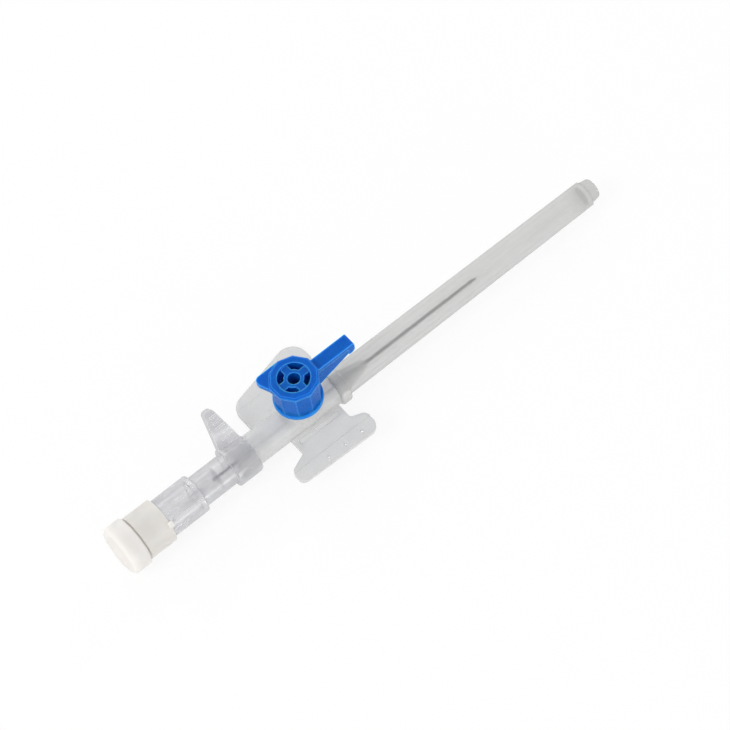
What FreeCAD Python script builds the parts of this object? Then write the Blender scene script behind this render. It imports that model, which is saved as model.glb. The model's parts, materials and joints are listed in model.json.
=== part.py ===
import FreeCAD, Part
import Sketcher
import math
import os

# Winged peripheral IV cannula with an injection port, lying on a flat surface.
# While it is modelled, X runs along the needle to its tip, Z runs up the axis of
# the injection port, and the two axes meet at the origin. Lengths are in millimetres.

Vector = FreeCAD.Vector
Rotation = FreeCAD.Rotation
Placement = FreeCAD.Placement

# Driving dimensions, each with its own cell in the sheet
SIZES = [
    # Needle
    ("needle_diameter", 0.60),
    ("needle_bore", 0.36),
    ("needle_past_catheter", 0.80),
    ("needle_rear", 20.0),
    ("bevel_length", 1.80),
    # Catheter and the bush that wedges it into the hub
    ("catheter_diameter", 0.90),
    ("catheter_bore", 0.68),
    ("catheter_exposed", 25.0),
    ("catheter_tip_diameter", 0.78),
    ("catheter_tip_length", 1.30),
    ("bush_length", 2.95),
    ("bush_set_back", 2.15),
    ("bush_flare_diameter", 1.90),
    ("bush_flare_length", 0.90),
    ("bush_tube_diameter", 0.96),
    ("bush_wall", 0.09),
    ("crimp_fit", 0.02),
    # Conical fittings, 6 percent taper on the diameter
    ("cone_mouth_diameter", 4.30),
    ("cone_taper", 0.06),
    ("cone_depth", 8.50),
    ("cone_fit", 0.03),
    # Hub tube and nose
    ("hub_diameter", 6.00),
    ("hub_rear", 15.2),
    ("hub_shoulder", 6.70),
    ("nose_length", 7.50),
    ("nose_diameter", 4.04),
    ("nose_straight", 2.60),
    ("nose_tip_diameter", 1.70),
    ("lug_span", 6.60),
    ("lug_width", 1.80),
    ("lug_length", 1.20),
    # Injection port
    ("boss_diameter", 7.00),
    ("boss_foot_diameter", 6.60),
    ("boss_height", 5.00),
    ("port_diameter", 5.90),
    ("port_height", 9.30),
    ("port_passage", 2.40),
    ("port_cone_bottom", 3.10),
    ("bead_rise", 0.12),
    ("bead_width", 0.40),
    # Valve sleeve under the port
    ("valve_length", 7.00),
    ("valve_bore", 2.70),
    ("inner_fit", 0.03),
    # Wings
    ("wing_level", 0.90),
    ("wing_thickness", 0.90),
    ("wing_droop_angle", 2.50),
    ("wing_neck_front", 5.80),
    ("wing_notch", 6.20),
    ("wing_front", 8.60),
    ("wing_rear", 8.55),
    ("near_reach_rear", 10.65),
    ("near_reach_front", 11.1),
    ("near_neck_rear", 4.85),
    ("rear_lobe_depth", 2.95),
    ("front_lobe_depth", 3.90),
    ("far_front", 8.35),
    ("far_reach_rear", 9.50),
    ("far_reach_front", 13.5),
    ("far_corner_radius", 3.10),
    ("near_corner_radius", 1.85),
    ("near_rear_corner_radius", 1.20),
    ("lobe_corner_radius", 1.40),
    ("notch_corner_radius", 0.80),
    ("hinge_line", 4.20),
    ("hinge_width", 0.90),
    ("hinge_depth", 0.22),
    ("step_inset", 2.45),
    ("step_depth", 0.14),
    ("line_end_gap", 0.90),
    ("stitch_hole", 0.60),
    ("stitch_pitch", 3.76),
    ("stitch_middle", 1.93),
    ("stitch_inset", 1.05),
    # Ring and lid of the injection port
    ("ring_diameter", 9.00),
    ("ring_height", 0.95),
    ("ring_edge", 0.25),
    ("running_fit", 0.08),
    ("skirt_bottom_width", 8.10),
    ("skirt_top_width", 8.15),
    ("lid_width", 8.65),
    ("lid_thickness", 0.75),
    ("lid_top", 12.4),
    ("lid_edge", 0.30),
    ("lid_web", 0.40),
    ("lid_wall_fit", 0.12),
    ("plug_length", 2.60),
    ("plug_floor", 0.50),
    ("dish_diameter", 5.90),
    ("dish_depth", 0.35),
    ("eye_ring_diameter", 3.60),
    ("eye_diameter", 2.30),
    ("spoke_width", 1.50),
    ("beak_reach", 5.30),
    ("beak_side", 4.60),
    ("beak_tip_radius", 1.00),
    ("beak_tip_width", 1.50),
    ("beak_inner_radius", 0.70),
    ("beak_root_reach", 4.55),
    ("beak_root_side", 1.30),
    ("beak_root_radius", 1.50),
    ("beak_drop", 0.45),
    ("beak_thickness", 1.05),
    ("lever_reach", 12.35),
    ("lever_width", 2.54),
    ("lever_drop", 1.15),
    ("lever_plate", 0.95),
    ("lever_root_depth", 5.15),
    ("lever_tip_depth", 2.45),
    ("lever_tip_length", 1.35),
    ("lever_web", 2.10),
    ("lever_channel", 1.00),
    ("lever_root_wall", 1.20),
    ("lever_tip_wall", 0.24),
    ("lever_top_round", 0.45),
    ("lever_tip_round", 0.90),
    # Clear flashback chamber with collar and finger fin
    ("collar_front", 11.7),
    ("collar_length", 4.90),
    ("collar_diameter", 7.70),
    ("collar_bore", 6.90),
    ("collar_edge", 0.40),
    ("collar_floor_gap", 0.40),
    ("male_length", 7.40),
    ("chamber_diameter", 6.00),
    ("chamber_bore", 4.40),
    ("chamber_front_wall", 2.60),
    ("tail_front", 23.65),
    ("tail_rear", 36.5),
    ("tail_diameter", 7.50),
    ("tail_bore", 6.00),
    ("tail_edge", 0.25),
    ("step_wall", 0.80),
    ("fin_lean_angle", 45.0),
    ("fin_reach", 10.9),
    ("fin_thickness", 1.60),
    ("fin_base_rear", 16.45),
    ("fin_base_front", 11.85),
    ("fin_tip_rear", 15.2),
    ("fin_tip_front", 13.4),
    ("fin_tip_radius", 0.80),
    ("fin_rib_count", 5),
    ("fin_rib_first", 4.90),
    ("fin_rib_pitch", 1.10),
    ("fin_rib_width", 0.40),
    ("fin_rib_rise", 0.16),
    ("parting_ridge", 0.10),
    ("parting_width", 0.28),
    # Vent plug, filter and end stopper
    ("plug_front", 31.4),
    ("plug_rear", 37.3),
    ("plug_diameter", 8.65),
    ("plug_web", 0.75),
    ("plug_neck_length", 0.35),
    ("plug_neck_depth", 0.32),
    ("plug_socket", 4.10),
    ("plug_nub", 0.55),
    ("nub_lean_angle", 48.0),
    ("nub_rise", 0.33),
    ("nub_edge", 0.22),
    ("nub_crown", 0.38),
    ("filter_thickness", 1.40),
    ("filter_set_back", 3.35),
    ("stopper_diameter", 9.60),
    ("stopper_length", 3.65),
    ("stopper_edge", 0.80),
    ("stopper_rim_edge", 0.20),
    ("stopper_cone_length", 2.20),
    ("stopper_hollow", 5.60),
    ("stopper_rim", 0.75),
    ("stopper_hollow_depth", 2.50),
    ("seat_gap", 0.05),
    # Needle cover
    ("cover_fit", 0.03),
    ("cover_wall", 0.65),
    ("cover_root_diameter", 5.60),
    ("cover_end_diameter", 5.00),
    ("cover_length", 58.5),
    ("cover_flange_diameter", 7.20),
    ("cover_flange_length", 2.10),
    ("cover_flange_edge", 0.50),
    ("cover_tip_diameter", 4.50),
    ("cover_tip_end_diameter", 3.80),
    ("cover_tip_length", 2.10),
    ("cover_tip_edge", 0.55),
    # How far the cannula rolls over before its far wing touches the surface
    ("rest_roll_angle", 9.0),
]

doc = FreeCAD.newDocument("cannula")
sheet = doc.addObject("Spreadsheet::Sheet", "Sizes")
for row, (alias, number) in enumerate(SIZES, start=1):
    sheet.set(f"A{row}", alias.replace("_", " "))
    sheet.set(f"B{row}", str(number))
    sheet.setAlias(f"B{row}", alias)
doc.recompute()


class Size:
    """A length as a number, with the sheet formula that gives it."""

    def __init__(self, number, formula):
        self.number = number
        self.formula = formula

    def __add__(self, other):
        other = as_size(other)
        return Size(self.number + other.number, f"({self.formula} + {other.formula})")

    def __radd__(self, other):
        return as_size(other) + self

    def __sub__(self, other):
        other = as_size(other)
        return Size(self.number - other.number, f"({self.formula} - {other.formula})")

    def __rsub__(self, other):
        return as_size(other) - self

    def __mul__(self, other):
        other = as_size(other)
        return Size(self.number * other.number, f"({self.formula} * {other.formula})")

    def __rmul__(self, other):
        return as_size(other) * self

    def __truediv__(self, other):
        other = as_size(other)
        return Size(self.number / other.number, f"({self.formula} / {other.formula})")

    def __neg__(self):
        return Size(-self.number, f"(0 - {self.formula})")


def as_size(value):
    if isinstance(value, Size):
        return value
    return Size(float(value), repr(float(value)))


def size(alias):
    return Size(float(sheet.get(alias)), f"{sheet.Label}.{alias}")


def radius(alias):
    return size(alias) / 2


ZERO = as_size(0)
OVERRUN = as_size(0.5)


def bind(feature, name, value):
    """Set a property of a feature from a size, and keep it bound to the sheet."""
    feature.setExpression(name, as_size(value).formula)


def new_body(label):
    body = doc.addObject("PartDesign::Body", label)
    body.Label = label
    return body


def new_sketch(body, name, role, level=ZERO, lean=None, lean_sign=1):
    """Sketch on an origin plane, moved along its normal and leaned about its X."""
    sketch = body.newObject("Sketcher::SketchObject", name)
    plane = next(item for item in body.Origin.OriginFeatures if item.Role == role)
    sketch.AttachmentSupport = [(plane, "")]
    sketch.MapMode = "FlatFace"
    if lean is not None:
        axis = Vector(lean_sign, 0, 0)
        sketch.AttachmentOffset = Placement(Vector(0, 0, level.number), Rotation(axis, lean.number))
        bind(sketch, "AttachmentOffset.Rotation.Angle", lean)
    else:
        sketch.AttachmentOffset = Placement(Vector(0, 0, level.number), Rotation())
    bind(sketch, "AttachmentOffset.Base.z", level)
    return sketch


def pin(sketch, geometry, point, x, y):
    """Hold a point at x, y with two dimensions bound to the sheet."""
    for kind, value, axis in (("DistanceX", x, -2), ("DistanceY", y, -1)):
        if value.formula == ZERO.formula:
            sketch.addConstraint(Sketcher.Constraint("PointOnObject", geometry, point, axis))
            continue
        number = sketch.addConstraint(
            Sketcher.Constraint(kind, -1, 1, geometry, point, value.number)
        )
        bind(sketch, f"Constraints[{number}]", value)


def outline(sketch, corners):
    """Closed outline through corners (x, y) or (x, y, radius), rounded by that radius."""
    corners = [tuple(as_size(value) for value in corner) for corner in corners]
    count = len(corners)
    points = [Vector(corner[0].number, corner[1].number, 0) for corner in corners]
    starts = list(points)
    ends = list(points)
    arcs = {}
    for index, corner in enumerate(corners):
        if len(corner) < 3:
            continue
        here = points[index]
        back = (points[index - 1] - here).normalize()
        ahead = (points[(index + 1) % count] - here).normalize()
        half_turn = back.getAngle(ahead) / 2
        rounding = corner[2].number
        along = rounding / math.tan(half_turn)
        ends[index] = here + back * along
        starts[index] = here + ahead * along
        middle = here + (back + ahead).normalize() * (rounding / math.sin(half_turn))
        turns_left = back.cross(ahead).z < 0
        first, last = (ends[index], starts[index]) if turns_left else (starts[index], ends[index])
        angles = [math.atan2(point.y - middle.y, point.x - middle.x) for point in (first, last)]
        circle = Part.Circle(middle, Vector(0, 0, 1), rounding)
        arcs[index] = (Part.ArcOfCircle(circle, angles[0], angles[1]), turns_left)
    base = sketch.GeometryCount
    for index in range(count):
        sketch.addGeometry(Part.LineSegment(starts[index], ends[(index + 1) % count]), False)
    for index, corner in enumerate(corners):
        line_in = base + (index - 1) % count
        line_out = base + index
        if index not in arcs:
            sketch.addConstraint(Sketcher.Constraint("Coincident", line_in, 2, line_out, 1))
            pin(sketch, line_out, 1, corner[0], corner[1])
            continue
        arc, turns_left = arcs[index]
        arc_number = sketch.addGeometry(arc, False)
        arc_in, arc_out = (1, 2) if turns_left else (2, 1)
        sketch.addConstraint(Sketcher.Constraint("Tangent", line_in, 2, arc_number, arc_in))
        sketch.addConstraint(Sketcher.Constraint("Tangent", arc_number, arc_out, line_out, 1))
        number = sketch.addConstraint(
            Sketcher.Constraint("Radius", arc_number, corner[2].number)
        )
        bind(sketch, f"Constraints[{number}]", corner[2])
        apex = sketch.addGeometry(Part.Point(points[index]), True)
        sketch.addConstraint(Sketcher.Constraint("PointOnObject", apex, 1, line_in))
        sketch.addConstraint(Sketcher.Constraint("PointOnObject", apex, 1, line_out))
        pin(sketch, apex, 1, corner[0], corner[1])


def circle(sketch, x, y, round_radius):
    number = sketch.addGeometry(
        Part.Circle(Vector(x.number, y.number, 0), Vector(0, 0, 1), round_radius.number), False
    )
    pin(sketch, number, 3, x, y)
    constraint = sketch.addConstraint(Sketcher.Constraint("Radius", number, round_radius.number))
    bind(sketch, f"Constraints[{constraint}]", round_radius)


def polygon(sketch, sides, across_flats):
    """Regular polygon about the origin with a corner off the X axis by half a side's turn."""
    corner_radius = across_flats / 2 / math.cos(math.pi / sides)
    step = 2 * math.pi / sides
    corners = []
    for index in range(sides):
        angle = (index + 0.5) * step
        corners.append((corner_radius * math.cos(angle), corner_radius * math.sin(angle)))
    outline(sketch, corners)


def turn(body, name, corners, axis="H_Axis", cut=False):
    """Revolve an outline of the XZ plane, about X (H_Axis) or about Z (V_Axis)."""
    sketch = new_sketch(body, f"{name}_profile", "XZ_Plane")
    outline(sketch, corners)
    feature = body.newObject("PartDesign::Groove" if cut else "PartDesign::Revolution", name)
    feature.Profile = sketch
    feature.ReferenceAxis = (sketch, [axis])
    feature.Angle = 360
    return feature


def pad(body, name, sketch, length, both_ways=False):
    feature = body.newObject("PartDesign::Pad", name)
    feature.Profile = sketch
    if both_ways:
        feature.SideType = "Symmetric"
    bind(feature, "Length", length)
    return feature


def pocket(body, name, sketch, length, upwards=False, both_ways=False):
    """Cut a sketch into the body, against its normal or, upwards, along it."""
    doc.recompute()
    before = body.Shape.Volume
    feature = body.newObject("PartDesign::Pocket", name)
    feature.Profile = sketch
    feature.Reversed = upwards
    if both_ways:
        feature.SideType = "Symmetric"
    bind(feature, "Length", length)
    doc.recompute()
    if body.Shape.Volume >= before:
        raise RuntimeError(f"{name} cut nothing")
    return feature


# Stations along X that more than one piece shares
hub_back = -size("hub_rear")
hub_face = size("hub_shoulder")
nose_tip = hub_face + size("nose_length")
catheter_end = nose_tip + size("catheter_exposed")
needle_tip = catheter_end + size("needle_past_catheter")
bush_front = nose_tip - size("bush_set_back")
bush_back = bush_front - size("bush_length")
bush_flare_end = bush_back + size("bush_flare_length")
cone_slope = size("cone_taper") / 2
cone_mouth = radius("cone_mouth_diameter")
cone_end = hub_back + size("cone_depth")
throat = cone_mouth - cone_slope * size("cone_depth")
ring_bottom = size("boss_height") + size("seat_gap")
ring_top = ring_bottom + size("ring_height")
skirt_bottom = ring_top + size("seat_gap")


# Steel needle, its bevel facing up
def make_needle():
    body = new_body("needle")
    outer = radius("needle_diameter")
    inner = radius("needle_bore")
    back = -size("needle_rear")
    turn(body, "needle_tube", [(back, inner), (back, outer), (needle_tip, outer), (needle_tip, inner)])
    sketch = new_sketch(body, "bevel_outline", "XZ_Plane")
    bevel_start = needle_tip - size("bevel_length")
    outline(sketch, [
        (bevel_start, outer),
        (needle_tip, -outer),
        (needle_tip + OVERRUN, -outer),
        (needle_tip + OVERRUN, outer + OVERRUN),
        (bevel_start, outer + OVERRUN),
    ])
    pocket(body, "bevel", sketch, size("needle_diameter") * 2, both_ways=True)
    return body


# Radius of the bush where the catheter's flared end starts, halfway along its flare
bush_tube = radius("bush_tube_diameter")
flare_half = (radius("bush_flare_diameter") + bush_tube) / 2
catheter_wall = (size("catheter_diameter") - size("catheter_bore")) / 2
flare_middle = (bush_back + bush_flare_end) / 2


# Soft catheter, flared over the bush and drawn down to a tapered tip
def make_catheter():
    body = new_body("catheter_tube")
    fit = size("crimp_fit")
    outer = radius("catheter_diameter")
    inner = radius("catheter_bore")
    necked = bush_front + size("bush_flare_length") / 2
    turn(body, "catheter_wall", [
        (flare_middle, flare_half + fit),
        (flare_middle, flare_half + fit + catheter_wall),
        (bush_flare_end, bush_tube + fit + catheter_wall),
        (bush_front, bush_tube + fit + catheter_wall),
        (necked, outer),
        (catheter_end - size("catheter_tip_length"), outer),
        (catheter_end, radius("catheter_tip_diameter")),
        (catheter_end, inner),
        (necked, inner),
        (bush_front, bush_tube + fit),
        (bush_flare_end, bush_tube + fit),
    ])
    return body


# Metal bush with a funnel mouth
def make_bush():
    body = new_body("crimp_bush")
    wall = size("bush_wall")
    flare = radius("bush_flare_diameter")
    turn(body, "bush_wall", [
        (bush_back, flare - wall),
        (bush_back, flare),
        (bush_flare_end, bush_tube),
        (bush_front, bush_tube),
        (bush_front, bush_tube - wall),
        (bush_flare_end, bush_tube - wall),
    ])
    return body


# One wing: side is -1 for the near wing (towards -Y) and 1 for the far wing.
# Both have a rounded lobe in front; the near wing has a second lobe behind its neck.
def wing_corners(side):
    front = size("wing_front")
    rear = size("wing_rear")
    neck_front = size("wing_neck_front")
    notch = size("wing_notch")
    notch_corner = size("notch_corner_radius")
    lobe_corner = size("lobe_corner_radius")
    lobe_side = size("near_reach_front") - size("front_lobe_depth")
    if side < 0:
        near_corner = size("near_corner_radius")
        shoulder = size("near_reach_rear") - size("rear_lobe_depth")
        neck_rear = size("near_neck_rear")
        return [
            (-neck_rear, ZERO),
            (-neck_rear, -notch),
            (-rear, -shoulder, lobe_corner),
            (-rear, -size("near_reach_rear"), size("near_rear_corner_radius")),
            (front, -size("near_reach_front"), near_corner),
            (front, -lobe_side, lobe_corner),
            (neck_front, -notch, notch_corner),
            (neck_front, ZERO),
        ]
    far_corner = size("far_corner_radius")
    far_front = size("far_front")
    return [
        (neck_front, ZERO),
        (neck_front, notch, notch_corner),
        (far_front, lobe_side, lobe_corner),
        (far_front, size("far_reach_front"), far_corner),
        (-rear, size("far_reach_rear"), far_corner),
        (-rear, ZERO),
    ]


# Milky hub: tube, nose, injection port and both wings in one moulding
def make_hub():
    body = new_body("catheter_hub")
    tube = radius("hub_diameter")
    nose = radius("nose_diameter")
    turn(body, "hub_tube", [
        (hub_back, ZERO),
        (hub_back, tube),
        (hub_face, tube),
        (hub_face, nose),
        (hub_face + size("nose_straight"), nose),
        (nose_tip, radius("nose_tip_diameter")),
        (nose_tip, ZERO),
    ])

    # Two lugs at the rear that a locking connector would grip
    lug_sketch = new_sketch(body, "lug_outline", "XY_Plane")
    lug_half = radius("lug_span")
    outline(lug_sketch, [
        (hub_back, -lug_half),
        (hub_back + size("lug_length"), -lug_half),
        (hub_back + size("lug_length"), lug_half),
        (hub_back, lug_half),
    ])
    pad(body, "lugs", lug_sketch, size("lug_width"), both_ways=True)

    # Port: a sloped foot on the tube, and the port tube with a snap bead above the ring
    port = radius("port_diameter")
    bead_level = skirt_bottom + size("bead_width")
    bead_half = size("bead_width") / 2
    turn(body, "port_tube", [
        (ZERO, ZERO),
        (radius("boss_foot_diameter"), ZERO),
        (radius("boss_diameter"), size("boss_height"), size("ring_edge")),
        (port, size("boss_height")),
        (port, bead_level - bead_half),
        (port + size("bead_rise"), bead_level),
        (port, bead_level + bead_half),
        (port, size("port_height")),
        (ZERO, size("port_height")),
    ], axis="V_Axis")

    for side, name in ((-1, "near_wing"), (1, "far_wing")):
        sketch = new_sketch(body, f"{name}_outline", "XY_Plane",
                            -size("wing_level"), size("wing_droop_angle"), -side)
        outline(sketch, wing_corners(side))
        pad(body, name, sketch, size("wing_thickness"), both_ways=True)

    # Groove where each wing bends, the step down to its thinner edge, and its stitch holes
    above_wing = size("wing_thickness") / 2 - size("wing_level") + OVERRUN
    step_line = size("near_reach_rear") - size("step_inset")
    stitch_line = size("near_reach_rear") - size("stitch_inset")
    line_front = size("wing_neck_front") - size("line_end_gap")
    line_rear = size("near_neck_rear") - size("line_end_gap")
    hinge_half = size("hinge_width") / 2
    beyond = size("far_reach_front")
    for side, name in ((-1, "near_wing"), (1, "far_wing")):
        hinge = new_sketch(body, f"{name}_hinge_outline", "XY_Plane",
                           above_wing, size("wing_droop_angle"), -side)
        outline(hinge, [
            (-line_rear, side * size("hinge_line") - hinge_half),
            (line_front, side * size("hinge_line") - hinge_half),
            (line_front, side * size("hinge_line") + hinge_half),
            (-line_rear, side * size("hinge_line") + hinge_half),
        ])
        pocket(body, f"{name}_hinge", hinge, size("hinge_depth") + OVERRUN)
        step = new_sketch(body, f"{name}_step_outline", "XY_Plane",
                          above_wing, size("wing_droop_angle"), -side)
        outline(step, [
            (-beyond, side * step_line),
            (beyond, side * step_line),
            (beyond, side * beyond),
            (-beyond, side * beyond),
        ])
        pocket(body, f"{name}_step", step, size("step_depth") + OVERRUN)
        holes = new_sketch(body, f"{name}_hole_outline", "XY_Plane",
                           -size("wing_level"), size("wing_droop_angle"), -side)
        for place in (-1, 0, 1):
            circle(holes, size("stitch_middle") + place * size("stitch_pitch"),
                   side * stitch_line, radius("stitch_hole"))
        pocket(body, f"{name}_stitch_holes", holes, size("wing_thickness") * 2, both_ways=True)

    # Bore from the conical fitting at the rear to the catheter's exit at the nose
    fit = size("crimp_fit")
    seat_tube = bush_tube + catheter_wall + fit * 2
    seat_flare = radius("bush_flare_diameter") + catheter_wall + fit * 2
    exit_radius = radius("catheter_diameter") + fit
    necked = bush_front + size("bush_flare_length") / 2 + fit
    turn(body, "hub_bore", [
        (hub_back - OVERRUN, ZERO),
        (hub_back - OVERRUN, cone_mouth + cone_slope * OVERRUN),
        (cone_end, throat),
        (size("valve_length") / 2 + size("bead_width"), throat),
        (bush_back - size("bush_flare_length"), seat_flare),
        (bush_back, seat_flare),
        (bush_flare_end, seat_tube),
        (bush_front + fit, seat_tube),
        (necked, exit_radius),
        (nose_tip + OVERRUN, exit_radius),
        (nose_tip + OVERRUN, ZERO),
    ], cut=True)

    # Port bore: a conical fitting down to a small passage above the valve sleeve
    cone_height = size("port_height") - size("port_cone_bottom")
    turn(body, "port_bore", [
        (ZERO, throat / 2),
        (radius("port_passage"), throat / 2),
        (radius("port_passage"), size("port_cone_bottom")),
        (cone_mouth - cone_slope * cone_height, size("port_cone_bottom")),
        (cone_mouth + cone_slope * OVERRUN, size("port_height") + OVERRUN),
        (ZERO, size("port_height") + OVERRUN),
    ], axis="V_Axis", cut=True)
    return body


# Silicone sleeve that closes the port's passage from inside
def make_valve():
    body = new_body("port_valve")
    half = size("valve_length") / 2
    outer = throat - size("inner_fit")
    inner = radius("valve_bore")
    turn(body, "sleeve_wall", [(-half, inner), (-half, outer), (half, outer), (half, inner)])
    return body


# Ring that turns round the port's foot
def make_ring():
    body = new_body("port_cap_ring")
    inner = radius("port_diameter") + size("running_fit")
    outer = radius("ring_diameter")
    edge = size("ring_edge")
    turn(body, "ring_wall", [
        (inner, ring_bottom),
        (outer, ring_bottom, edge),
        (outer, ring_top, edge),
        (inner, ring_top),
    ], axis="V_Axis")
    return body


LID_SIDES = 10
WINDOW_COUNT = 4


def chamfer_top(body, name, level, reach, edge):
    """Bevel the straight edges of a flat top that lie further out than reach."""
    doc.recompute()
    base = body.Tip
    names = []
    for index, candidate in enumerate(base.Shape.Edges, start=1):
        box = candidate.BoundBox
        flat = abs(box.ZMin - level) < 1e-4 and abs(box.ZMax - level) < 1e-4
        middle = candidate.CenterOfMass
        if flat and math.hypot(middle.x, middle.y) > reach:
            names.append(f"Edge{index}")
    feature = body.newObject("PartDesign::Chamfer", name)
    feature.Base = (base, names)
    bind(feature, "Size", edge)
    return feature


# Ten-sided lid with a plug for the port, a beak to lift it by and a lever
def make_lid():
    body = new_body("port_cap_lid")
    top = size("lid_top")
    disc_bottom = top - size("lid_thickness")

    foot = new_sketch(body, "skirt_foot", "XY_Plane", skirt_bottom)
    polygon(foot, LID_SIDES, size("skirt_bottom_width"))
    head = new_sketch(body, "skirt_head", "XY_Plane", disc_bottom)
    polygon(head, LID_SIDES, size("skirt_top_width"))
    skirt = body.newObject("PartDesign::AdditiveLoft", "skirt")
    skirt.Profile = foot
    skirt.Sections = [head]
    skirt.Ruled = True

    disc = new_sketch(body, "disc_outline", "XY_Plane", disc_bottom)
    polygon(disc, LID_SIDES, size("lid_width"))
    pad(body, "disc", disc, size("lid_thickness"))
    chamfer_top(body, "disc_edge", top.number, radius("dish_diameter").number, size("lid_edge"))

    # Beak: a flat tab whose outer side runs along X
    beak_bottom = top - size("beak_drop") - size("beak_thickness")
    beak = new_sketch(body, "beak_outline", "XY_Plane", beak_bottom)
    outline(beak, [
        (ZERO, size("beak_side")),
        (-size("beak_reach"), size("beak_side"), size("beak_tip_radius")),
        (-size("beak_reach"), size("beak_side") - size("beak_tip_width"), size("beak_inner_radius")),
        (-size("beak_root_reach"), size("beak_root_side"), size("beak_root_radius")),
        (-radius("lid_width"), ZERO),
        (ZERO, ZERO),
    ])
    pad(body, "beak", beak, size("beak_thickness"))

    # Lever: a flat top plate with a turned-down tip, on a wedge that is hollow below
    root = radius("skirt_bottom_width")
    plate_top = top - size("lever_drop")
    plate_bottom = plate_top - size("lever_plate")
    tip = size("lever_reach")
    tip_bottom = plate_top - size("lever_tip_depth")
    tip_back = tip - size("lever_tip_length")
    plate = new_sketch(body, "lever_plate_outline", "XZ_Plane")
    outline(plate, [
        (root, plate_bottom),
        (root, plate_top),
        (tip, plate_top, size("lever_top_round")),
        (tip, tip_bottom, size("lever_tip_round")),
        (tip_back, tip_bottom),
        (tip_back, plate_bottom),
    ])
    pad(body, "lever_plate", plate, size("lever_width"), both_ways=True)
    web = new_sketch(body, "lever_web_outline", "XZ_Plane")
    outline(web, [
        (root, plate_top - size("lever_root_depth")),
        (root, plate_top - size("lever_plate") / 2),
        (tip - size("lever_tip_length") / 2, plate_top - size("lever_plate") / 2),
        (tip - size("lever_tip_length") / 2, tip_bottom + size("lever_tip_wall")),
        (tip_back, tip_bottom),
    ])
    pad(body, "lever_web", web, size("lever_web"), both_ways=True)
    channel = new_sketch(body, "lever_channel_outline", "XZ_Plane")
    channel_front = root + size("lever_root_wall")
    outline(channel, [
        (channel_front, skirt_bottom - OVERRUN),
        (tip_back, skirt_bottom - OVERRUN),
        (tip_back, plate_bottom),
        (channel_front, plate_bottom),
    ])
    pocket(body, "lever_channel", channel, size("lever_channel"), both_ways=True)

    # Room for the port tube and its bead, under a thin web
    cavity_top = size("port_height") + size("seat_gap")
    cavity = new_sketch(body, "cavity_outline", "XY_Plane", skirt_bottom)
    circle(cavity, ZERO, ZERO, radius("port_diameter") + size("bead_rise") + size("lid_wall_fit"))
    pocket(body, "cavity", cavity, cavity_top - skirt_bottom, upwards=True)

    # Plug: follows the port's conical fitting
    plug_end = cavity_top - size("plug_length")
    rise = size("port_height") - plug_end
    turn(body, "plug", [
        (ZERO, plug_end),
        (cone_mouth - cone_slope * rise - size("cone_fit"), plug_end),
        (cone_mouth + cone_slope * size("seat_gap") - size("cone_fit"), cavity_top),
        (cone_mouth - size("cone_fit"), cavity_top + size("lid_web") / 2),
        (ZERO, cavity_top + size("lid_web") / 2),
    ], axis="V_Axis")

    # Dish in the top, its eye down into the plug, and four windows between spokes
    dish = new_sketch(body, "dish_outline", "XY_Plane", top)
    circle(dish, ZERO, ZERO, radius("dish_diameter"))
    pocket(body, "dish", dish, size("dish_depth"))
    eye = new_sketch(body, "eye_outline", "XY_Plane", top)
    circle(eye, ZERO, ZERO, radius("eye_diameter"))
    pocket(body, "eye", eye, top - plug_end - size("plug_floor"))
    window = new_sketch(body, "window_outline", "XY_Plane", top)
    window_outline(window, radius("eye_ring_diameter"), radius("dish_diameter"),
                   size("spoke_width") / 2)
    window_cut = pocket(body, "window", window, top - cavity_top - size("lid_web"))
    pattern = body.newObject("PartDesign::PolarPattern", "windows")
    pattern.Originals = [window_cut]
    pattern.Axis = (window, ["N_Axis"])
    pattern.Angle = 360
    pattern.Occurrences = WINDOW_COUNT
    body.Tip = pattern
    return body


def window_outline(sketch, inner, outer, inset):
    """Quarter of a ring between two radii, kept inset from the X and Y axes."""
    def on_circle(round_radius):
        far = math.sqrt(round_radius.number ** 2 - inset.number ** 2)
        return Vector(inset.number, far, 0), Vector(far, inset.number, 0)

    inner_left, inner_right = on_circle(inner)
    outer_left, outer_right = on_circle(outer)
    axis = Vector(0, 0, 1)
    low, high = (math.atan2(inner_right.y, inner_right.x), math.atan2(inner_left.y, inner_left.x))
    arc_in = sketch.addGeometry(
        Part.ArcOfCircle(Part.Circle(Vector(), axis, inner.number), low, high), False
    )
    low, high = (math.atan2(outer_right.y, outer_right.x), math.atan2(outer_left.y, outer_left.x))
    arc_out = sketch.addGeometry(
        Part.ArcOfCircle(Part.Circle(Vector(), axis, outer.number), low, high), False
    )
    side_left = sketch.addGeometry(Part.LineSegment(inner_left, outer_left), False)
    side_right = sketch.addGeometry(Part.LineSegment(inner_right, outer_right), False)
    for first, first_end, second, second_end in (
        (arc_in, 2, side_left, 1),
        (arc_out, 2, side_left, 2),
        (arc_in, 1, side_right, 1),
        (arc_out, 1, side_right, 2),
    ):
        sketch.addConstraint(
            Sketcher.Constraint("Coincident", first, first_end, second, second_end)
        )
    for arc, round_radius in ((arc_in, inner), (arc_out, outer)):
        sketch.addConstraint(Sketcher.Constraint("Coincident", arc, 3, -1, 1))
        number = sketch.addConstraint(Sketcher.Constraint("Radius", arc, round_radius.number))
        bind(sketch, f"Constraints[{number}]", round_radius)
    sketch.addConstraint(Sketcher.Constraint("Vertical", side_left))
    sketch.addConstraint(Sketcher.Constraint("Horizontal", side_right))
    for kind, line in (("DistanceX", side_left), ("DistanceY", side_right)):
        number = sketch.addConstraint(Sketcher.Constraint(kind, -1, 1, line, 1, inset.number))
        bind(sketch, f"Constraints[{number}]", inset)


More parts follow.
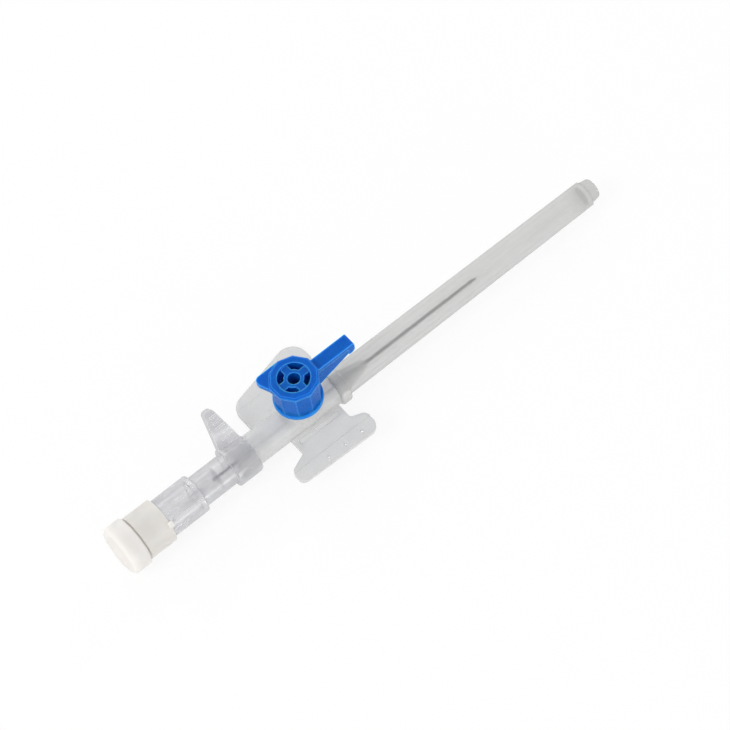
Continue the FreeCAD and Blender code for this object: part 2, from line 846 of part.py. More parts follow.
# Clear chamber: male cone and collar in front, flash chamber, wider tail behind
def make_chamber():
    body = new_body("flashback_chamber")
    collar_front = -size("collar_front")
    collar_back = collar_front - size("collar_length")
    floor = hub_back - size("collar_floor_gap")
    male_front = floor + size("male_length")
    male_root = cone_mouth - size("cone_fit") + cone_slope * size("collar_floor_gap")
    male_end = male_root - cone_slope * size("male_length")
    needle_seat = radius("needle_diameter") + size("crimp_fit") / 2
    front_wall = collar_back - size("chamber_front_wall")
    tail_front = -size("tail_front")
    tail_back = -size("tail_rear")
    turn(body, "chamber_wall", [
        (male_front, needle_seat),
        (male_front, male_end),
        (floor, male_root),
        (floor, radius("collar_bore")),
        (collar_front, radius("collar_bore")),
        (collar_front, radius("collar_diameter") - size("collar_edge") / 2),
        (collar_front - size("collar_edge"), radius("collar_diameter")),
        (collar_back, radius("collar_diameter"), size("tail_edge")),
        (collar_back, radius("chamber_diameter")),
        (tail_front, radius("chamber_diameter")),
        (tail_front, radius("tail_diameter"), size("tail_edge")),
        (tail_back, radius("tail_diameter")),
        (tail_back, radius("tail_bore")),
        (tail_front - size("step_wall"), radius("tail_bore")),
        (tail_front - size("step_wall"), radius("chamber_bore")),
        (front_wall, radius("chamber_bore")),
        (front_wall, needle_seat),
    ])

    # Finger fin: a tapered blade on the collar, leaning towards the far side
    fin_foot = (radius("collar_bore") + radius("collar_diameter")) / 2
    fin_tip = size("fin_reach")
    fin = new_sketch(body, "fin_outline", "XZ_Plane", ZERO, size("fin_lean_angle"), -1)
    outline(fin, [
        (-size("fin_base_rear"), fin_foot),
        (-size("fin_base_front"), fin_foot),
        (-size("fin_tip_front"), fin_tip, size("fin_tip_radius")),
        (-size("fin_tip_rear"), fin_tip, size("fin_tip_radius")),
    ])
    pad(body, "fin", fin, size("fin_thickness"), both_ways=True)

    # Grip ribs across both faces of the fin, over its front two thirds
    ribs = new_sketch(body, "fin_rib_outline", "XZ_Plane", ZERO, size("fin_lean_angle"), -1)
    height = fin_tip - fin_foot
    for index in range(int(size("fin_rib_count").number)):
        low = size("fin_rib_first") + index * size("fin_rib_pitch")
        share = (low - fin_foot) / height
        front = -(size("fin_base_front") + (size("fin_tip_front") - size("fin_base_front")) * share)
        rear = -(size("fin_base_rear") + (size("fin_tip_rear") - size("fin_base_rear")) * share)
        inset = (front - rear) / 3
        outline(ribs, [
            (rear + inset, low),
            (front - size("fin_rib_rise"), low),
            (front - size("fin_rib_rise"), low + size("fin_rib_width")),
            (rear + inset, low + size("fin_rib_width")),
        ])
    pad(body, "fin_ribs", ribs, size("fin_thickness") + size("fin_rib_rise") * 2, both_ways=True)

    # Fine parting ridge along the tail
    ridge = new_sketch(body, "ridge_outline", "XZ_Plane", ZERO, size("nub_lean_angle"), 1)
    outline(ridge, [
        (-(size("plug_front") - size("plug_nub") * 2), radius("tail_bore") + size("parting_ridge")),
        (tail_front - size("tail_edge"), radius("tail_bore") + size("parting_ridge")),
        (tail_front - size("tail_edge"), radius("tail_diameter") + size("parting_ridge")),
        (-(size("plug_front") - size("plug_nub") * 2),
         radius("tail_diameter") + size("parting_ridge")),
    ])
    pad(body, "parting_ridge", ridge, size("parting_width"), both_ways=True)
    return body


# White vent plug: a sleeve over the chamber's tail, with a ring that holds the filter
def make_vent_plug():
    body = new_body("vent_plug")
    front = -size("plug_front")
    back = -size("plug_rear")
    outer = radius("plug_diameter")
    sleeve_bore = radius("tail_diameter") + size("inner_fit")
    web = back + size("plug_web")
    holder = -size("tail_rear") + size("filter_set_back") - size("filter_thickness") - size("seat_gap")
    holder_radius = radius("tail_bore") - size("inner_fit")
    neck = outer - size("plug_neck_depth")
    turn(body, "plug_sleeve", [
        (front, sleeve_bore),
        (front, outer, size("plug_neck_depth") / 2),
        (back + size("plug_neck_length"), outer),
        (back + size("plug_neck_length"), neck),
        (back, neck),
        (back, radius("plug_socket")),
        (holder, radius("plug_socket")),
        (holder, holder_radius),
        (web, holder_radius),
        (web, sleeve_bore),
    ])

    # Round nub on the front edge, leaning towards the near side
    nub = size("plug_nub")
    level = sleeve_bore + nub
    nub_sketch = new_sketch(body, "nub_outline", "XZ_Plane", ZERO, size("nub_lean_angle"), 1)
    outline(nub_sketch, [
        (front - nub, level),
        (front - nub, sleeve_bore + size("inner_fit")),
        (front + nub, sleeve_bore + size("inner_fit"), size("nub_edge")),
        (front + nub, level + size("nub_rise"), size("nub_crown")),
        (front - nub, level + size("nub_rise"), size("nub_edge")),
    ])
    pad(body, "nub", nub_sketch, nub * 2, both_ways=True)
    return body


# Porous disc held in the chamber's tail
def make_filter():
    body = new_body("vent_filter")
    front = -size("tail_rear") + size("filter_set_back")
    back = front - size("filter_thickness")
    outer = radius("tail_bore") - size("inner_fit")
    turn(body, "filter_disc", [(back, ZERO), (back, outer), (front, outer), (front, ZERO)])
    return body


# White end stopper with its own cone, which can close the hub later
def make_stopper():
    body = new_body("end_stopper")
    face = -size("plug_rear") - size("seat_gap")
    back = face - size("stopper_length")
    outer = radius("stopper_diameter")
    cone = radius("plug_socket") - size("cone_fit")
    cone_front = face + size("stopper_cone_length")
    hollow_back = face - size("stopper_hollow_depth")
    turn(body, "stopper_wall", [
        (cone_front, ZERO),
        (cone_front, cone - cone_slope * size("stopper_cone_length")),
        (hollow_back, cone),
        (hollow_back, radius("stopper_hollow")),
        (hollow_back, outer - size("stopper_rim")),
        (face, outer - size("stopper_rim")),
        (face, outer, size("stopper_rim_edge")),
        (back, outer, size("stopper_edge")),
        (back, ZERO),
    ])
    return body


# Needle cover: a flanged mouth on the hub's nose, a long slim taper and a stub end
def make_cover():
    body = new_body("needle_cover")
    mouth = radius("nose_diameter") + size("cover_fit")
    wall = size("cover_wall")
    flange = radius("cover_flange_diameter")
    flange_front = hub_face + size("cover_flange_length")
    end = hub_face + size("cover_length")
    root_radius = radius("cover_root_diameter")
    end_radius = radius("cover_end_diameter")
    tip_end = end + size("cover_tip_length")
    edge = size("cover_flange_edge")
    turn(body, "cover_wall", [
        (hub_face, mouth),
        (hub_face, flange, edge),
        (flange_front, flange, edge),
        (flange_front, root_radius),
        (end, end_radius),
        (end, radius("cover_tip_diameter")),
        (tip_end, radius("cover_tip_end_diameter"), size("cover_tip_edge")),
        (tip_end, ZERO),
        (end - wall, ZERO),
        (end - wall, end_radius - wall),
        (hub_face + size("nose_straight"), mouth),
    ])
    return body


bodies = [
    make_hub(),
    make_catheter(),
    make_bush(),
    make_valve(),
    make_ring(),
    make_lid(),
    make_chamber(),
    make_needle(),
    make_vent_plug(),
    make_filter(),
    make_stopper(),
    make_cover(),
]
doc.recompute()

# The cannula lies rolled towards its far wing. Its origin is on the surface, at the
# middle of its length and width.
roll = Rotation(Vector(-1, 0, 0), size("rest_roll_angle").number)
whole = Part.Compound([body.Shape for body in bodies])
whole.Placement = Placement(Vector(), roll)
box = whole.optimalBoundingBox(False)
shift = Vector(-box.Center.x, -box.Center.y, -box.ZMin)
for body in bodies:
    body.Placement = Placement(shift, roll)
    bind(body, "Placement.Rotation.Angle", size("rest_roll_angle"))
doc.recompute()
print("shift", shift)

for item in doc.Objects:
    if "Invalid" in item.State or "Error" in item.State:
        raise RuntimeError(f"{item.Name} is {item.State}")
for body in bodies:
    if body.Shape.isNull() or not body.Shape.isValid():
        raise RuntimeError(f"{body.Label} has no valid shape")
    if len(body.Shape.Shells) != 1:
        raise RuntimeError(f"{body.Label} has a skin left over a cut")

os.makedirs("parts", exist_ok=True)
for body in bodies:
    body.Shape.exportStep(f"parts/{body.Label}.step")
    print(body.Label, len(body.Shape.Solids), round(body.Shape.Volume, 3))
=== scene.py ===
import json
import math

import bmesh
import bpy
from mathutils import Matrix, Vector

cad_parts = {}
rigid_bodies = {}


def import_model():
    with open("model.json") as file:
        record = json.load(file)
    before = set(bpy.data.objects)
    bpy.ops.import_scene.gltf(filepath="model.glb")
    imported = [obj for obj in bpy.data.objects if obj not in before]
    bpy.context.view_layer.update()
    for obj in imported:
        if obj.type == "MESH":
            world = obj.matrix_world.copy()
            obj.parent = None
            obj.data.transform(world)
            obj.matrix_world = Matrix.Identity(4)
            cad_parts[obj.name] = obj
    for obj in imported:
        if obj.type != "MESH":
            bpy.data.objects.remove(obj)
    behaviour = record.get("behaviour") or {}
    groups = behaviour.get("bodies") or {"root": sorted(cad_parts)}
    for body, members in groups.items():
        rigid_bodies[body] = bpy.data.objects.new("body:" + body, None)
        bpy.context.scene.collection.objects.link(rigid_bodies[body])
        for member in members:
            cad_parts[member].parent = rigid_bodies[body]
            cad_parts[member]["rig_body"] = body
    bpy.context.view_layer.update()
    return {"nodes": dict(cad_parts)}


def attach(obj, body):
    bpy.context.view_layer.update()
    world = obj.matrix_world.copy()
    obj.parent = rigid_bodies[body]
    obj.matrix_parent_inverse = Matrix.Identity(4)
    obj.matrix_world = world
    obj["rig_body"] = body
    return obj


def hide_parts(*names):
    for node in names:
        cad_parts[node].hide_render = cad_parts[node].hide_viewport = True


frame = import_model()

MM = 0.001

# Where the needle's axis lies in the frame: it passes through this point along X,
# and the whole object leans this far onto its far wing
AXIS_ORIGIN_MM = (-13.150, -0.5877, 4.800)
REST_ROLL_DEG = 9.0

# The photograph's camera, in the object's own upright directions
CAMERA_PLACE_MM = (-176.094, -346.042, 688.067)
CAMERA_RIGHT = (0.76920, -0.63019, -0.10578)
CAMERA_UP = (0.59337, 0.64299, 0.48423)
CAMERA_LENS_MM = 222.88
CAMERA_SENSOR_MM = 36.0
CAMERA_SHIFT = (0.009287, 0.015435)

# Faces that meet at less than this shade as one, and points this close are one point
CREASE_DEG = 28.0
SAME_POINT_MM = 0.00001

# Hazy plastic: the slant of view over which its haze grows, and what it grows to
HAZE_SLANT = (0.30, 0.90)
HAZE_AT_GRAZING = 0.92

# The walls of bores have this share of the outer skin's haze. How far a face looks away
# from the needle's axis, as a cosine, tells the two apart
BORE_WALL_HAZE = 0.3
BORE_WALL_FACING = (-0.4, -0.1)

# The cover turns this cloudy between these places along X, where its bore ends
COVER_CLOSED_END_HAZE = 0.75
COVER_CLOSED_END_MM = (42.0, 50.0)

# The floor's half width, its white, the share of it that glows, and the sky's light
FLOOR_REACH = 3.0
PAPER_WHITE = 0.95
FLOOR_GLOW = 0.86
SKY_LIGHT = 0.72

# Each lamp's name, place, width and power
LAMPS = (
    ("key", (-0.55, 0.05, 0.60), 0.30, 1.9),
    ("back", (0.15, 0.65, 0.50), 0.20, 0.5),
    ("near strip", (0.05, -0.60, 0.08), 0.20, 0.75),
    ("front", (0.78, 0.40, 0.43), 0.06, 0.9),
)

# Painted reflection: a dark band in the sky that only reflections and bent light see. Its way
# across the needle, how much of the white it takes away, and where its edge lies as a cosine
PAINTED_REFLECTION_WAY = (0.0, -0.307, 0.952)
PAINTED_REFLECTION_SHARE = 0.95
PAINTED_REFLECTION_EDGE = (0.88, 0.92)

PLACE = (
    Matrix.Translation(Vector(AXIS_ORIGIN_MM))
    @ Matrix.Rotation(math.radians(-REST_ROLL_DEG), 4, "X")
)


def to_frame(x, y, z):
    """A point beside the needle's axis, in millimetres, as a point of the frame in metres."""
    return (PLACE @ Vector((x, y, z))) * MM


# Materials

def linear(code):
    """An sRGB hex colour as the linear colour that the shaders take."""
    channels = []
    for start in (0, 2, 4):
        value = int(code[start:start + 2], 16) / 255
        if value <= 0.04045:
            channels.append(value / 12.92)
        else:
            channels.append(((value + 0.055) / 1.055) ** 2.4)
    return (*channels, 1.0)


def add(material, kind, sockets, **settings):
    """Adds one node; each socket is given a value, or the output that feeds it."""
    node = material.node_tree.nodes.new(kind)
    for name, value in settings.items():
        setattr(node, name, value)
    for key, value in sockets.items():
        if isinstance(value, bpy.types.NodeSocket):
            material.node_tree.links.new(value, node.inputs[key])
        else:
            node.inputs[key].default_value = value
    return node


def new_material(name):
    material = bpy.data.materials.new(name)
    material.use_nodes = True
    material.node_tree.nodes.clear()
    return material


def show(material, shader):
    add(material, "ShaderNodeOutputMaterial", {"Surface": shader})
    return material


def marks_of(material, size_mm, drawn=(1.0, 1.0, 1.0), detail=3.0):
    """Irregular marks of one real size, drawn out along an axis where its number is small."""
    place = add(material, "ShaderNodeTexCoord", {})
    laid = add(material, "ShaderNodeMapping", {
        "Vector": place.outputs["Object"],
        "Scale": drawn,
    })
    return add(material, "ShaderNodeTexNoise", {
        "Vector": laid.outputs["Vector"],
        "Scale": 1.0 / (size_mm * MM),
        "Detail": detail,
        "Roughness": 0.55,
    }).outputs["Fac"]


def between(material, marks, low, high, span=(0.3, 0.7)):
    """Marks, which run from about 0.3 to 0.7, or another span as values from low to high."""
    return add(material, "ShaderNodeMapRange", {
        "Value": marks,
        "From Min": span[0],
        "From Max": span[1],
        "To Min": low,
        "To Max": high,
    }).outputs["Result"]


def blended(material, share, first, second):
    """A colour between two colours, each a socket or a linear colour."""
    mix = add(material, "ShaderNodeMix", {0: share, 6: first, 7: second}, data_type="RGBA")
    return mix.outputs[2]


def relief(material, marks, depth_mm, edge_mm):
    """Edges rounded as a mould leaves them, with shallow marks over the faces."""
    edge = add(material, "ShaderNodeBevel", {"Radius": edge_mm * MM}, samples=6)
    return add(material, "ShaderNodeBump", {
        "Height": marks,
        "Normal": edge.outputs["Normal"],
        "Strength": 1.0,
        "Distance": depth_mm * MM,
    }).outputs["Normal"]


def along_edges(material, reach_mm, gain):
    """1 at a sharp edge, falling to 0 within the reach."""
    edge = add(material, "ShaderNodeBevel", {"Radius": reach_mm * MM}, samples=8)
    face = add(material, "ShaderNodeNewGeometry", {})
    match = add(material, "ShaderNodeVectorMath", {
        0: edge.outputs["Normal"],
        1: face.outputs["Normal"],
    }, operation="DOT_PRODUCT")
    return add(material, "ShaderNodeMapRange", {
        "Value": match.outputs["Value"],
        "From Min": 1.0,
        "From Max": 1.0 - 1.0 / gain,
        "To Min": 0.0,
        "To Max": 1.0,
    }).outputs["Result"]


def blue_polypropylene(name, deep, light):
    # Polypropylene moulded against a satin tool: an even saturated blue with soft highlights,
    # slow streaks where the melt flowed, and edges painted a paler blue, painted light standing
    # in for what thin edges let through. The tool's grain of about 0.05 mm is drawn coarser here
    # and below, so that it shows
    material = new_material(name)
    flow = marks_of(material, 2.6)
    grain = marks_of(material, 0.30, detail=4.0)
    body = blended(material, between(material, flow, 0.0, 1.0), linear(deep), linear(light))
    skin = add(material, "ShaderNodeBsdfPrincipled", {
        # Painted light: within 0.45 mm of an edge the blue is painted paler
        "Base Color": blended(
            material, along_edges(material, 0.45, gain=8.0), body, linear("3C93EA")),
        "Roughness": between(material, grain, 0.24, 0.38),
        "Normal": relief(material, grain, 0.008, 0.14),
        "IOR": 1.49,
        "Specular IOR Level": 0.12,
        "Subsurface Weight": 0.9,
        "Subsurface Radius": (0.15, 0.6, 1.0),
        "Subsurface Scale": 2.4 * MM,
    })
    return show(material, skin.outputs["BSDF"])


def white_polyethylene(name, shade, bright):
    # Polyethylene filled with white: warm, matt and a little waxy, with a fine eroded
    # grain from the tool and faint darker flow lines
    material = new_material(name)
    flow = marks_of(material, 3.2)
    grain = marks_of(material, 0.28, detail=5.0)
    skin = add(material, "ShaderNodeBsdfPrincipled", {
        "Base Color": blended(
            material, between(material, flow, 0.0, 1.0), linear(shade), linear(bright)),
        "Roughness": between(material, grain, 0.38, 0.52),
        "Normal": relief(material, grain, 0.008, 0.18),
        "IOR": 1.50,
        "Subsurface Weight": 0.7,
        "Subsurface Radius": (1.0, 0.95, 0.9),
        "Subsurface Scale": 2.5 * MM,
    })
    return show(material, skin.outputs["BSDF"])


def porous_polyethylene():
    # Beads of polyethylene sintered into a disc: matt white grains, with the gaps between them
    # painted dark as painted shade
    material = new_material("porous polyethylene, white, sintered")
    place = add(material, "ShaderNodeTexCoord", {})
    beads = add(material, "ShaderNodeTexVoronoi", {
        "Vector": place.outputs["Object"],
        "Scale": 1.0 / (0.25 * MM),
    }).outputs["Distance"]
    gaps = between(material, beads, 0.0, 1.0, (0.25, 0.6))
    skin = add(material, "ShaderNodeBsdfPrincipled", {
        # Painted shade: the colour darkens in the gaps between the beads
        "Base Color": blended(material, gaps, linear("F0EFEA"), linear("B9B7B0")),
        "Roughness": 0.85,
        "Normal": relief(material, gaps, -0.05, 0.08),
        "IOR": 1.49,
    })
    return show(material, skin.outputs["BSDF"])


def silicone_rubber():
    # Silicone rubber, cured in a mould: milky, soft and faintly tacky, so highlights are broad
    material = new_material("silicone rubber, milky, moulded")
    cloud = marks_of(material, 0.8)
    skin = add(material, "ShaderNodeBsdfPrincipled", {
        "Base Color": blended(
            material, between(material, cloud, 0.0, 1.0), linear("DCDAD4"), linear("EAE8E2")),
        "Roughness": between(material, cloud, 0.42, 0.58),
        "Normal": relief(material, cloud, 0.01, 0.10),
        "IOR": 1.41,
        "Subsurface Weight": 0.4,
        "Subsurface Radius": (1.0, 1.0, 0.9),
        "Subsurface Scale": 1.0 * MM,
    })
    return show(material, skin.outputs["BSDF"])


def drawn_steel():
    # Stainless tube drawn and polished along its length: fine lines run along X and break
    # the highlight up. They are drawn coarser than the real 0.01 mm, so that they show
    material = new_material("stainless steel tube, drawn and polished")
    lines = marks_of(material, 0.08, drawn=(0.02, 1.0, 1.0))
    face = add(material, "ShaderNodeBsdfPrincipled", {
        "Base Color": blended(
            material, between(material, lines, 0.0, 1.0), linear("727274"), linear("909092")),
        "Metallic": 1.0,
        "Roughness": between(material, lines, 0.05, 0.12),
        "Normal": relief(material, lines, 0.004, 0.02),
    })
    return show(material, face.outputs["BSDF"])


def pressed_steel():
    # Stainless sheet pressed to a bush: a duller steel with rubbed patches from the press
    material = new_material("stainless steel bush, pressed")
    rubs = marks_of(material, 0.6)
    face = add(material, "ShaderNodeBsdfPrincipled", {
        "Base Color": blended(
            material, between(material, rubs, 0.0, 1.0), linear("77797B"), linear("939597")),
        "Metallic": 1.0,
        "Roughness": between(material, rubs, 0.28, 0.46),
        "Normal": relief(material, rubs, 0.01, 0.06),
    })
    return show(material, face.outputs["BSDF"])


def outer_skin(material):
    """1 on faces that look away from the needle's axis, less in bores, 0 on backs of faces."""
    place = add(material, "ShaderNodeTexCoord", {})
    beside = add(material, "ShaderNodeVectorMath", {
        0: place.outputs["Object"],
        1: tuple(value * MM for value in AXIS_ORIGIN_MM),
    }, operation="SUBTRACT")
    across = add(material, "ShaderNodeVectorMath", {
        0: beside.outputs["Vector"],
        1: (0.0, 1.0, 1.0),
    }, operation="MULTIPLY")
    outward = add(material, "ShaderNodeVectorMath", {
        0: across.outputs["Vector"],
    }, operation="NORMALIZE")
    match = add(material, "ShaderNodeVectorMath", {
        0: outward.outputs["Vector"],
        1: place.outputs["Normal"],
    }, operation="DOT_PRODUCT")
    side = add(material, "ShaderNodeNewGeometry", {})
    front = add(material, "ShaderNodeMath", {
        0: 1.0,
        1: side.outputs["Backfacing"],
    }, operation="SUBTRACT")
    return add(material, "ShaderNodeMath", {
        0: between(material, match.outputs["Value"], BORE_WALL_HAZE, 1.0, BORE_WALL_FACING),
        1: front.outputs[0],
    }, operation="MULTIPLY").outputs[0]


def hazy_body(material, clear_part, straight, cloud_part, haze, tones, edge_mm):
    """Plastic that light passes through, some of it straight and the rest bent. Its outer skin
    scatters a share, more where light runs a long way in the wall, and most at the edges,
    which are painted the paler second tone as painted highlights."""
    cloud_tone, painted_highlight_tone = tones
    # Painted highlights: along the edges the haze rises and takes the paler second tone
    rim = along_edges(material, edge_mm, gain=4.0)
    bent = add(material, "ShaderNodeBsdfPrincipled", {"Transmission Weight": 1.0, **clear_part})
    unbent = add(material, "ShaderNodeBsdfTransparent", {"Color": (1.0, 1.0, 1.0, 1.0)})
    clear = add(material, "ShaderNodeMixShader", {
        0: straight,
        1: bent.outputs["BSDF"],
        2: unbent.outputs["BSDF"],
    })
    cloud = add(material, "ShaderNodeBsdfPrincipled", {
        "Base Color": blended(material, rim, linear(cloud_tone), linear(painted_highlight_tone)),
        **cloud_part,
    })
    slant = add(material, "ShaderNodeLayerWeight", {"Blend": 0.5})
    long_way = add(material, "ShaderNodeMapRange", {
        "Value": slant.outputs["Facing"],
        "From Min": HAZE_SLANT[0],
        "From Max": HAZE_SLANT[1],
        "To Min": haze,
        "To Max": HAZE_AT_GRAZING,
    })
    most = add(material, "ShaderNodeMath", {
        0: long_way.outputs["Result"],
        1: rim,
    }, operation="MAXIMUM")
    share = add(material, "ShaderNodeMath", {
        0: most.outputs[0],
        1: outer_skin(material),
    }, operation="MULTIPLY")
    both = add(material, "ShaderNodeMixShader", {
        0: share.outputs[0],
        1: clear.outputs["Shader"],
        2: cloud.outputs["BSDF"],
    })
    return show(material, both.outputs["Shader"])


def milky_polypropylene():
    # Natural polypropylene, moulded: the steel inside shows as a blurred grey streak, the
    # mass is cloudier in some places than others, and the skin is smooth with a soft gloss
    material = new_material("polypropylene, natural milky, moulded")
    cloud = marks_of(material, 2.2)
    grain = marks_of(material, 0.35, detail=4.0)
    return hazy_body(
        material,
        clear_part={
            "Base Color": blended(
                material, between(material, cloud, 0.0, 1.0), linear("F6F6F5"), linear("FBFBFA")),
            "Roughness": 0.5,
            "IOR": 1.20,
            "Coat Weight": 0.15,
            "Coat Roughness": 0.12,
        },
        straight=0.7,
        cloud_part={
            "Roughness": between(material, grain, 0.22, 0.34),
            "Normal": relief(material, grain, 0.002, 0.20),
            "IOR": 1.49,
            "Specular IOR Level": 0.25,
        },
        haze=between(material, cloud, 0.76, 0.88),
        # The second tone is the painted highlight along the edges
        tones=("D0D0CF", "EBEBEA"),
        edge_mm=0.16,
    )


def cover_polypropylene():
    # Clarified polypropylene, moulded on a long core: half clear, with faint lines drawn
    # along its length, and cloudier in patches and at its thick closed end
    material = new_material("polypropylene, clarified, moulded on a long core")
    lines = marks_of(material, 0.45, drawn=(0.04, 1.0, 1.0))
    cloud = marks_of(material, 2.4, drawn=(0.35, 1.0, 1.0))
    place = add(material, "ShaderNodeTexCoord", {})
    along = add(material, "ShaderNodeSeparateXYZ", {"Vector": place.outputs["Object"]})
    reach = [place_mm * MM for place_mm in COVER_CLOSED_END_MM]
    closed_end = between(material, along.outputs["X"], 0.0, COVER_CLOSED_END_HAZE, reach)
    haze = add(material, "ShaderNodeMath", {
        0: between(material, cloud, 0.52, 0.62),
        1: closed_end,
    }, operation="MAXIMUM")
    return hazy_body(
        material,
        clear_part={
            "Base Color": blended(
                material, between(material, lines, 0.0, 1.0), linear("F2F2F2"), linear("F8F8F8")),
            "Roughness": 0.04,
            "IOR": 1.05,
            "Coat Weight": 0.1,
            "Coat Roughness": 0.12,
        },
        straight=0.9,
        cloud_part={
            "Roughness": between(material, lines, 0.18, 0.30),
            "Normal": relief(material, lines, 0.004, 0.20),
            "IOR": 1.49,
            "Specular IOR Level": 0.25,
        },
        haze=haze.outputs[0],
        # The second tone is the painted highlight along the edges
        tones=("B3B3B1", "C8C8C4"),
        edge_mm=0.20,
    )


def clear_polystyrene():
    # Crystal polystyrene, moulded: glassy, with flow waves that bend what is seen
    # through it, greyer streaks along the flow, and edges painted white as painted highlights
    material = new_material("polystyrene, crystal clear, moulded")
    waves = marks_of(material, 2.4, drawn=(0.5, 1.0, 1.0), detail=1.0)
    streaks = marks_of(material, 2.0, drawn=(0.3, 1.0, 1.0), detail=2.0)
    return hazy_body(
        material,
        clear_part={
            "Base Color": blended(
                material, between(material, waves, 0.0, 1.0), linear("F4F4F7"), linear("FBFBFD")),
            "Roughness": 0.04,
            "IOR": 1.10,
            "Normal": relief(material, waves, 0.008, 0.15),
            "Coat Weight": 0.3,
            "Coat Roughness": 0.06,
        },
        straight=0.6,
        cloud_part={
            "Roughness": between(material, streaks, 0.14, 0.26),
            "Normal": relief(material, streaks, 0.004, 0.20),
            "IOR": 1.59,
            "Specular IOR Level": 0.5,
        },
        haze=between(material, streaks, 0.40, 0.78, (0.35, 0.65)),
        # The second tone is the painted highlight along the edges
        tones=("B2B2B6", "FFFFFF"),
        edge_mm=0.20,
    )


def extruded_fluoropolymer():
    # Fluoropolymer tube, extruded: slippery and translucent, with fine lines along it
    material = new_material("fluoropolymer tube, extruded")
    lines = marks_of(material, 0.10, drawn=(0.02, 1.0, 1.0))
    return hazy_body(
        material,
        clear_part={
            "Base Color": blended(
                material, between(material, lines, 0.0, 1.0), linear("F0F0F0"), linear("FAFAFA")),
            "Roughness": 0.06,
            "IOR": 1.05,
        },
        straight=0.0,
        cloud_part={
            "Roughness": between(material, lines, 0.20, 0.32),
            "IOR": 1.34,
        },
        haze=0.08,
        # The second tone is the painted highlight along the edges
        tones=("E4E4E4", "F0F0F0"),
        edge_mm=0.05,
    )


FINISHES = {
    "milky": milky_polypropylene(),
    "cover": cover_polypropylene(),
    "clear": clear_polystyrene(),
    "catheter": extruded_fluoropolymer(),
    "needle": drawn_steel(),
    "bush": pressed_steel(),
    "silicone": silicone_rubber(),
    "blue": blue_polypropylene("polypropylene, blue, moulded satin", "015CB6", "0464BF"),
    # A paler copy of the same blue for the ring, painted lighter as painted light
    "painted paler blue": blue_polypropylene("polypropylene, blue, painted paler for the lit ring", "1676D0", "2284DC"),
    # The plug and the stopper take two copies of one white polyethylene, the plug's darker
    "plug": white_polyethylene(
        "polyethylene, white, moulded matt, darker copy", "E6DFD7", "ECE6DE"),
    "stopper": white_polyethylene(
        "polyethylene, white, moulded matt, lighter copy", "F0E9E2", "F5EFE9"),
    "filter": porous_polyethylene(),
}

# Each node's material slot in the record, and its finish
PIECES = {
    "catheter_hub": ("milky_plastic", "milky"),
    "catheter_tube": ("catheter_plastic", "catheter"),
    "crimp_bush": ("bush_steel", "bush"),
    "port_valve": ("silicone", "silicone"),
    "port_cap_ring": ("blue_plastic", "painted paler blue"),
    "port_cap_lid": ("blue_plastic", "blue"),
    "flashback_chamber": ("clear_plastic", "clear"),
    "needle": ("needle_steel", "needle"),
    "vent_plug": ("white_plastic", "plug"),
    "vent_filter": ("porous_plastic", "filter"),
    "end_stopper": ("white_plastic", "stopper"),
    "needle_cover": ("cover_plastic", "cover"),
}


# Pieces: each node's form with its facets joined, so that round faces shade smooth

def smooth_copy(name, finish):
    source = frame["nodes"][name]
    body = source["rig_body"]
    shape = bmesh.new()
    verts = [shape.verts.new(v.co) for v in source.data.vertices]
    for polygon in source.data.polygons:
        shape.faces.new([verts[index] for index in polygon.vertices])
    bmesh.ops.remove_doubles(shape, verts=shape.verts, dist=SAME_POINT_MM * MM)
    crease = math.radians(CREASE_DEG)
    for edge in shape.edges:
        edge.smooth = edge.is_manifold and edge.calc_face_angle() < crease
    for face in shape.faces:
        face.smooth = True
    mesh = bpy.data.meshes.new(name + "_look")
    shape.to_mesh(mesh)
    shape.free()
    piece = bpy.data.objects.new(name + "_look", mesh)
    bpy.context.scene.collection.objects.link(piece)
    mesh.materials.append(FINISHES[finish])
    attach(piece, body)
    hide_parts(name)


for node_name, (slot_name, finish_name) in PIECES.items():
    smooth_copy(node_name, finish_name)


# Floor, light and camera

def seen_indirectly(owner):
    """1 for what is seen in a reflection or through bent light."""
    path = add(owner, "ShaderNodeLightPath", {})
    return add(owner, "ShaderNodeMath", {
        0: path.outputs["Is Glossy Ray"],
        1: path.outputs["Is Transmission Ray"],
    }, operation="MAXIMUM").outputs[0]


def seen_at_all(owner):
    """1 for what the camera sees, also through the plastic and in its reflections."""
    path = add(owner, "ShaderNodeLightPath", {})
    return add(owner, "ShaderNodeMath", {
        0: path.outputs["Is Camera Ray"],
        1: seen_indirectly(owner),
    }, operation="MAXIMUM").outputs[0]


def make_floor():
    mesh = bpy.data.meshes.new("floor")
    shape = bmesh.new()
    bmesh.ops.create_grid(shape, x_segments=1, y_segments=1, size=FLOOR_REACH)
    shape.to_mesh(mesh)
    shape.free()
    floor = bpy.data.objects.new("floor", mesh)
    bpy.context.scene.collection.objects.link(floor)
    # Matt white paper: the lit paper keeps the object's shadow, and the share that
    # glows for what the camera sees keeps the rest of it plain white
    material = new_material("white paper, matt")
    paper = add(material, "ShaderNodeBsdfDiffuse", {
        "Color": (PAPER_WHITE, PAPER_WHITE, PAPER_WHITE, 1.0),
    })
    glow = add(material, "ShaderNodeEmission", {"Color": (1.0, 1.0, 1.0, 1.0), "Strength": 1.0})
    share = add(material, "ShaderNodeMath", {
        0: seen_at_all(material),
        1: FLOOR_GLOW,
    }, operation="MULTIPLY")
    both = add(material, "ShaderNodeMixShader", {
        0: share.outputs[0],
        1: paper.outputs["BSDF"],
        2: glow.outputs["Emission"],
    })
    mesh.materials.append(show(material, both.outputs["Shader"]))


def make_lamp(name, place, size, watts):
    """A square lamp that looks at the middle of the object's floor space."""
    data = bpy.data.lights.new(name, "AREA")
    data.shape = "SQUARE"
    data.size = size
    data.energy = watts
    lamp = bpy.data.objects.new(name, data)
    lamp.location = place
    lamp.rotation_mode = "QUATERNION"
    lamp.rotation_quaternion = (-Vector(place)).to_track_quat("-Z", "Y")
    bpy.context.scene.collection.objects.link(lamp)


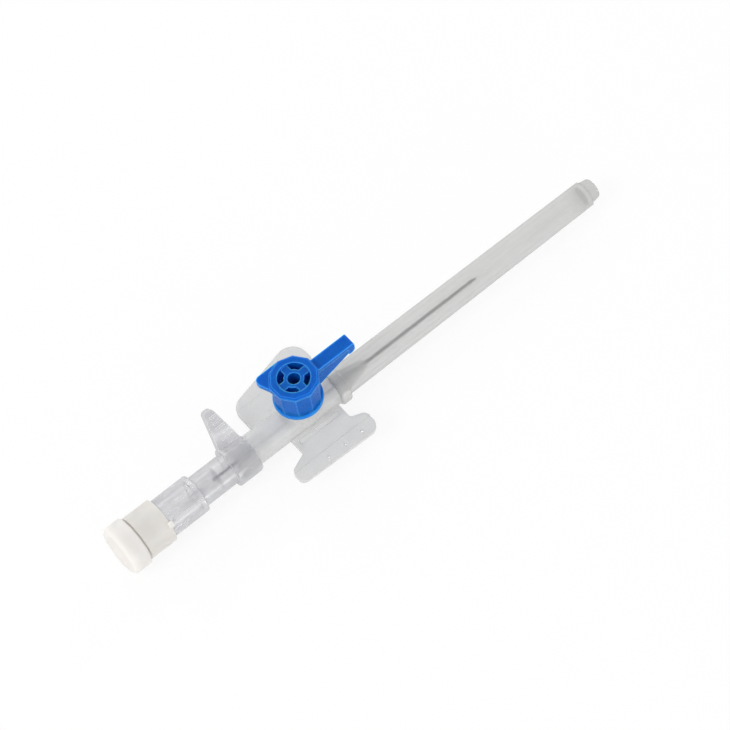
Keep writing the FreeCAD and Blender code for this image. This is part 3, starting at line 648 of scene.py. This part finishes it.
def make_world():
    world = bpy.data.worlds.new("studio")
    bpy.context.scene.world = world
    world.use_nodes = True
    world.node_tree.nodes.clear()
    # A dark band painted into the sky behind the camera, along the needle, and seen only in
    # reflections and through bent light: polished steel shows it as a painted dark reflection,
    # one thin dark line between two bright ones
    direction = add(world, "ShaderNodeTexCoord", {})
    across = add(world, "ShaderNodeVectorMath", {
        0: direction.outputs["Object"],
        1: (0.0, 1.0, 1.0),
    }, operation="MULTIPLY")
    around = add(world, "ShaderNodeVectorMath", {
        0: across.outputs["Vector"],
    }, operation="NORMALIZE")
    match = add(world, "ShaderNodeVectorMath", {
        0: around.outputs["Vector"],
        1: PAINTED_REFLECTION_WAY,
    }, operation="DOT_PRODUCT")
    dark = add(world, "ShaderNodeMath", {
        0: between(world, match.outputs["Value"], 0.0, PAINTED_REFLECTION_SHARE, PAINTED_REFLECTION_EDGE),
        1: seen_indirectly(world),
    }, operation="MULTIPLY")
    sky = add(world, "ShaderNodeBackground", {
        "Color": blended(world, dark.outputs[0], linear("FFFFFF"), linear("040404")),
        "Strength": between(world, seen_at_all(world), SKY_LIGHT, 1.0, (0.0, 1.0)),
    })
    add(world, "ShaderNodeOutputWorld", {"Surface": sky.outputs["Background"]})


def make_camera():
    turn = Matrix.Rotation(math.radians(-REST_ROLL_DEG), 3, "X")
    right = turn @ Vector(CAMERA_RIGHT)
    up = turn @ Vector(CAMERA_UP)
    right.normalize()
    back = right.cross(up).normalized()
    up = back.cross(right)
    data = bpy.data.cameras.new("camera")
    data.lens = CAMERA_LENS_MM
    data.sensor_width = CAMERA_SENSOR_MM
    data.shift_x, data.shift_y = CAMERA_SHIFT
    data.clip_start = 0.05
    data.clip_end = 20.0
    camera = bpy.data.objects.new("camera", data)
    bpy.context.scene.collection.objects.link(camera)
    axes = Matrix((right, up, back)).transposed()
    camera.matrix_world = Matrix.Translation(to_frame(*CAMERA_PLACE_MM)) @ axes.to_4x4()
    bpy.context.scene.camera = camera


make_floor()
make_world()
for name, place, size, watts in LAMPS:
    make_lamp(name, place, size, watts)
make_camera()

bpy.context.scene.view_settings.view_transform = "Standard"
bpy.context.view_layer.update()
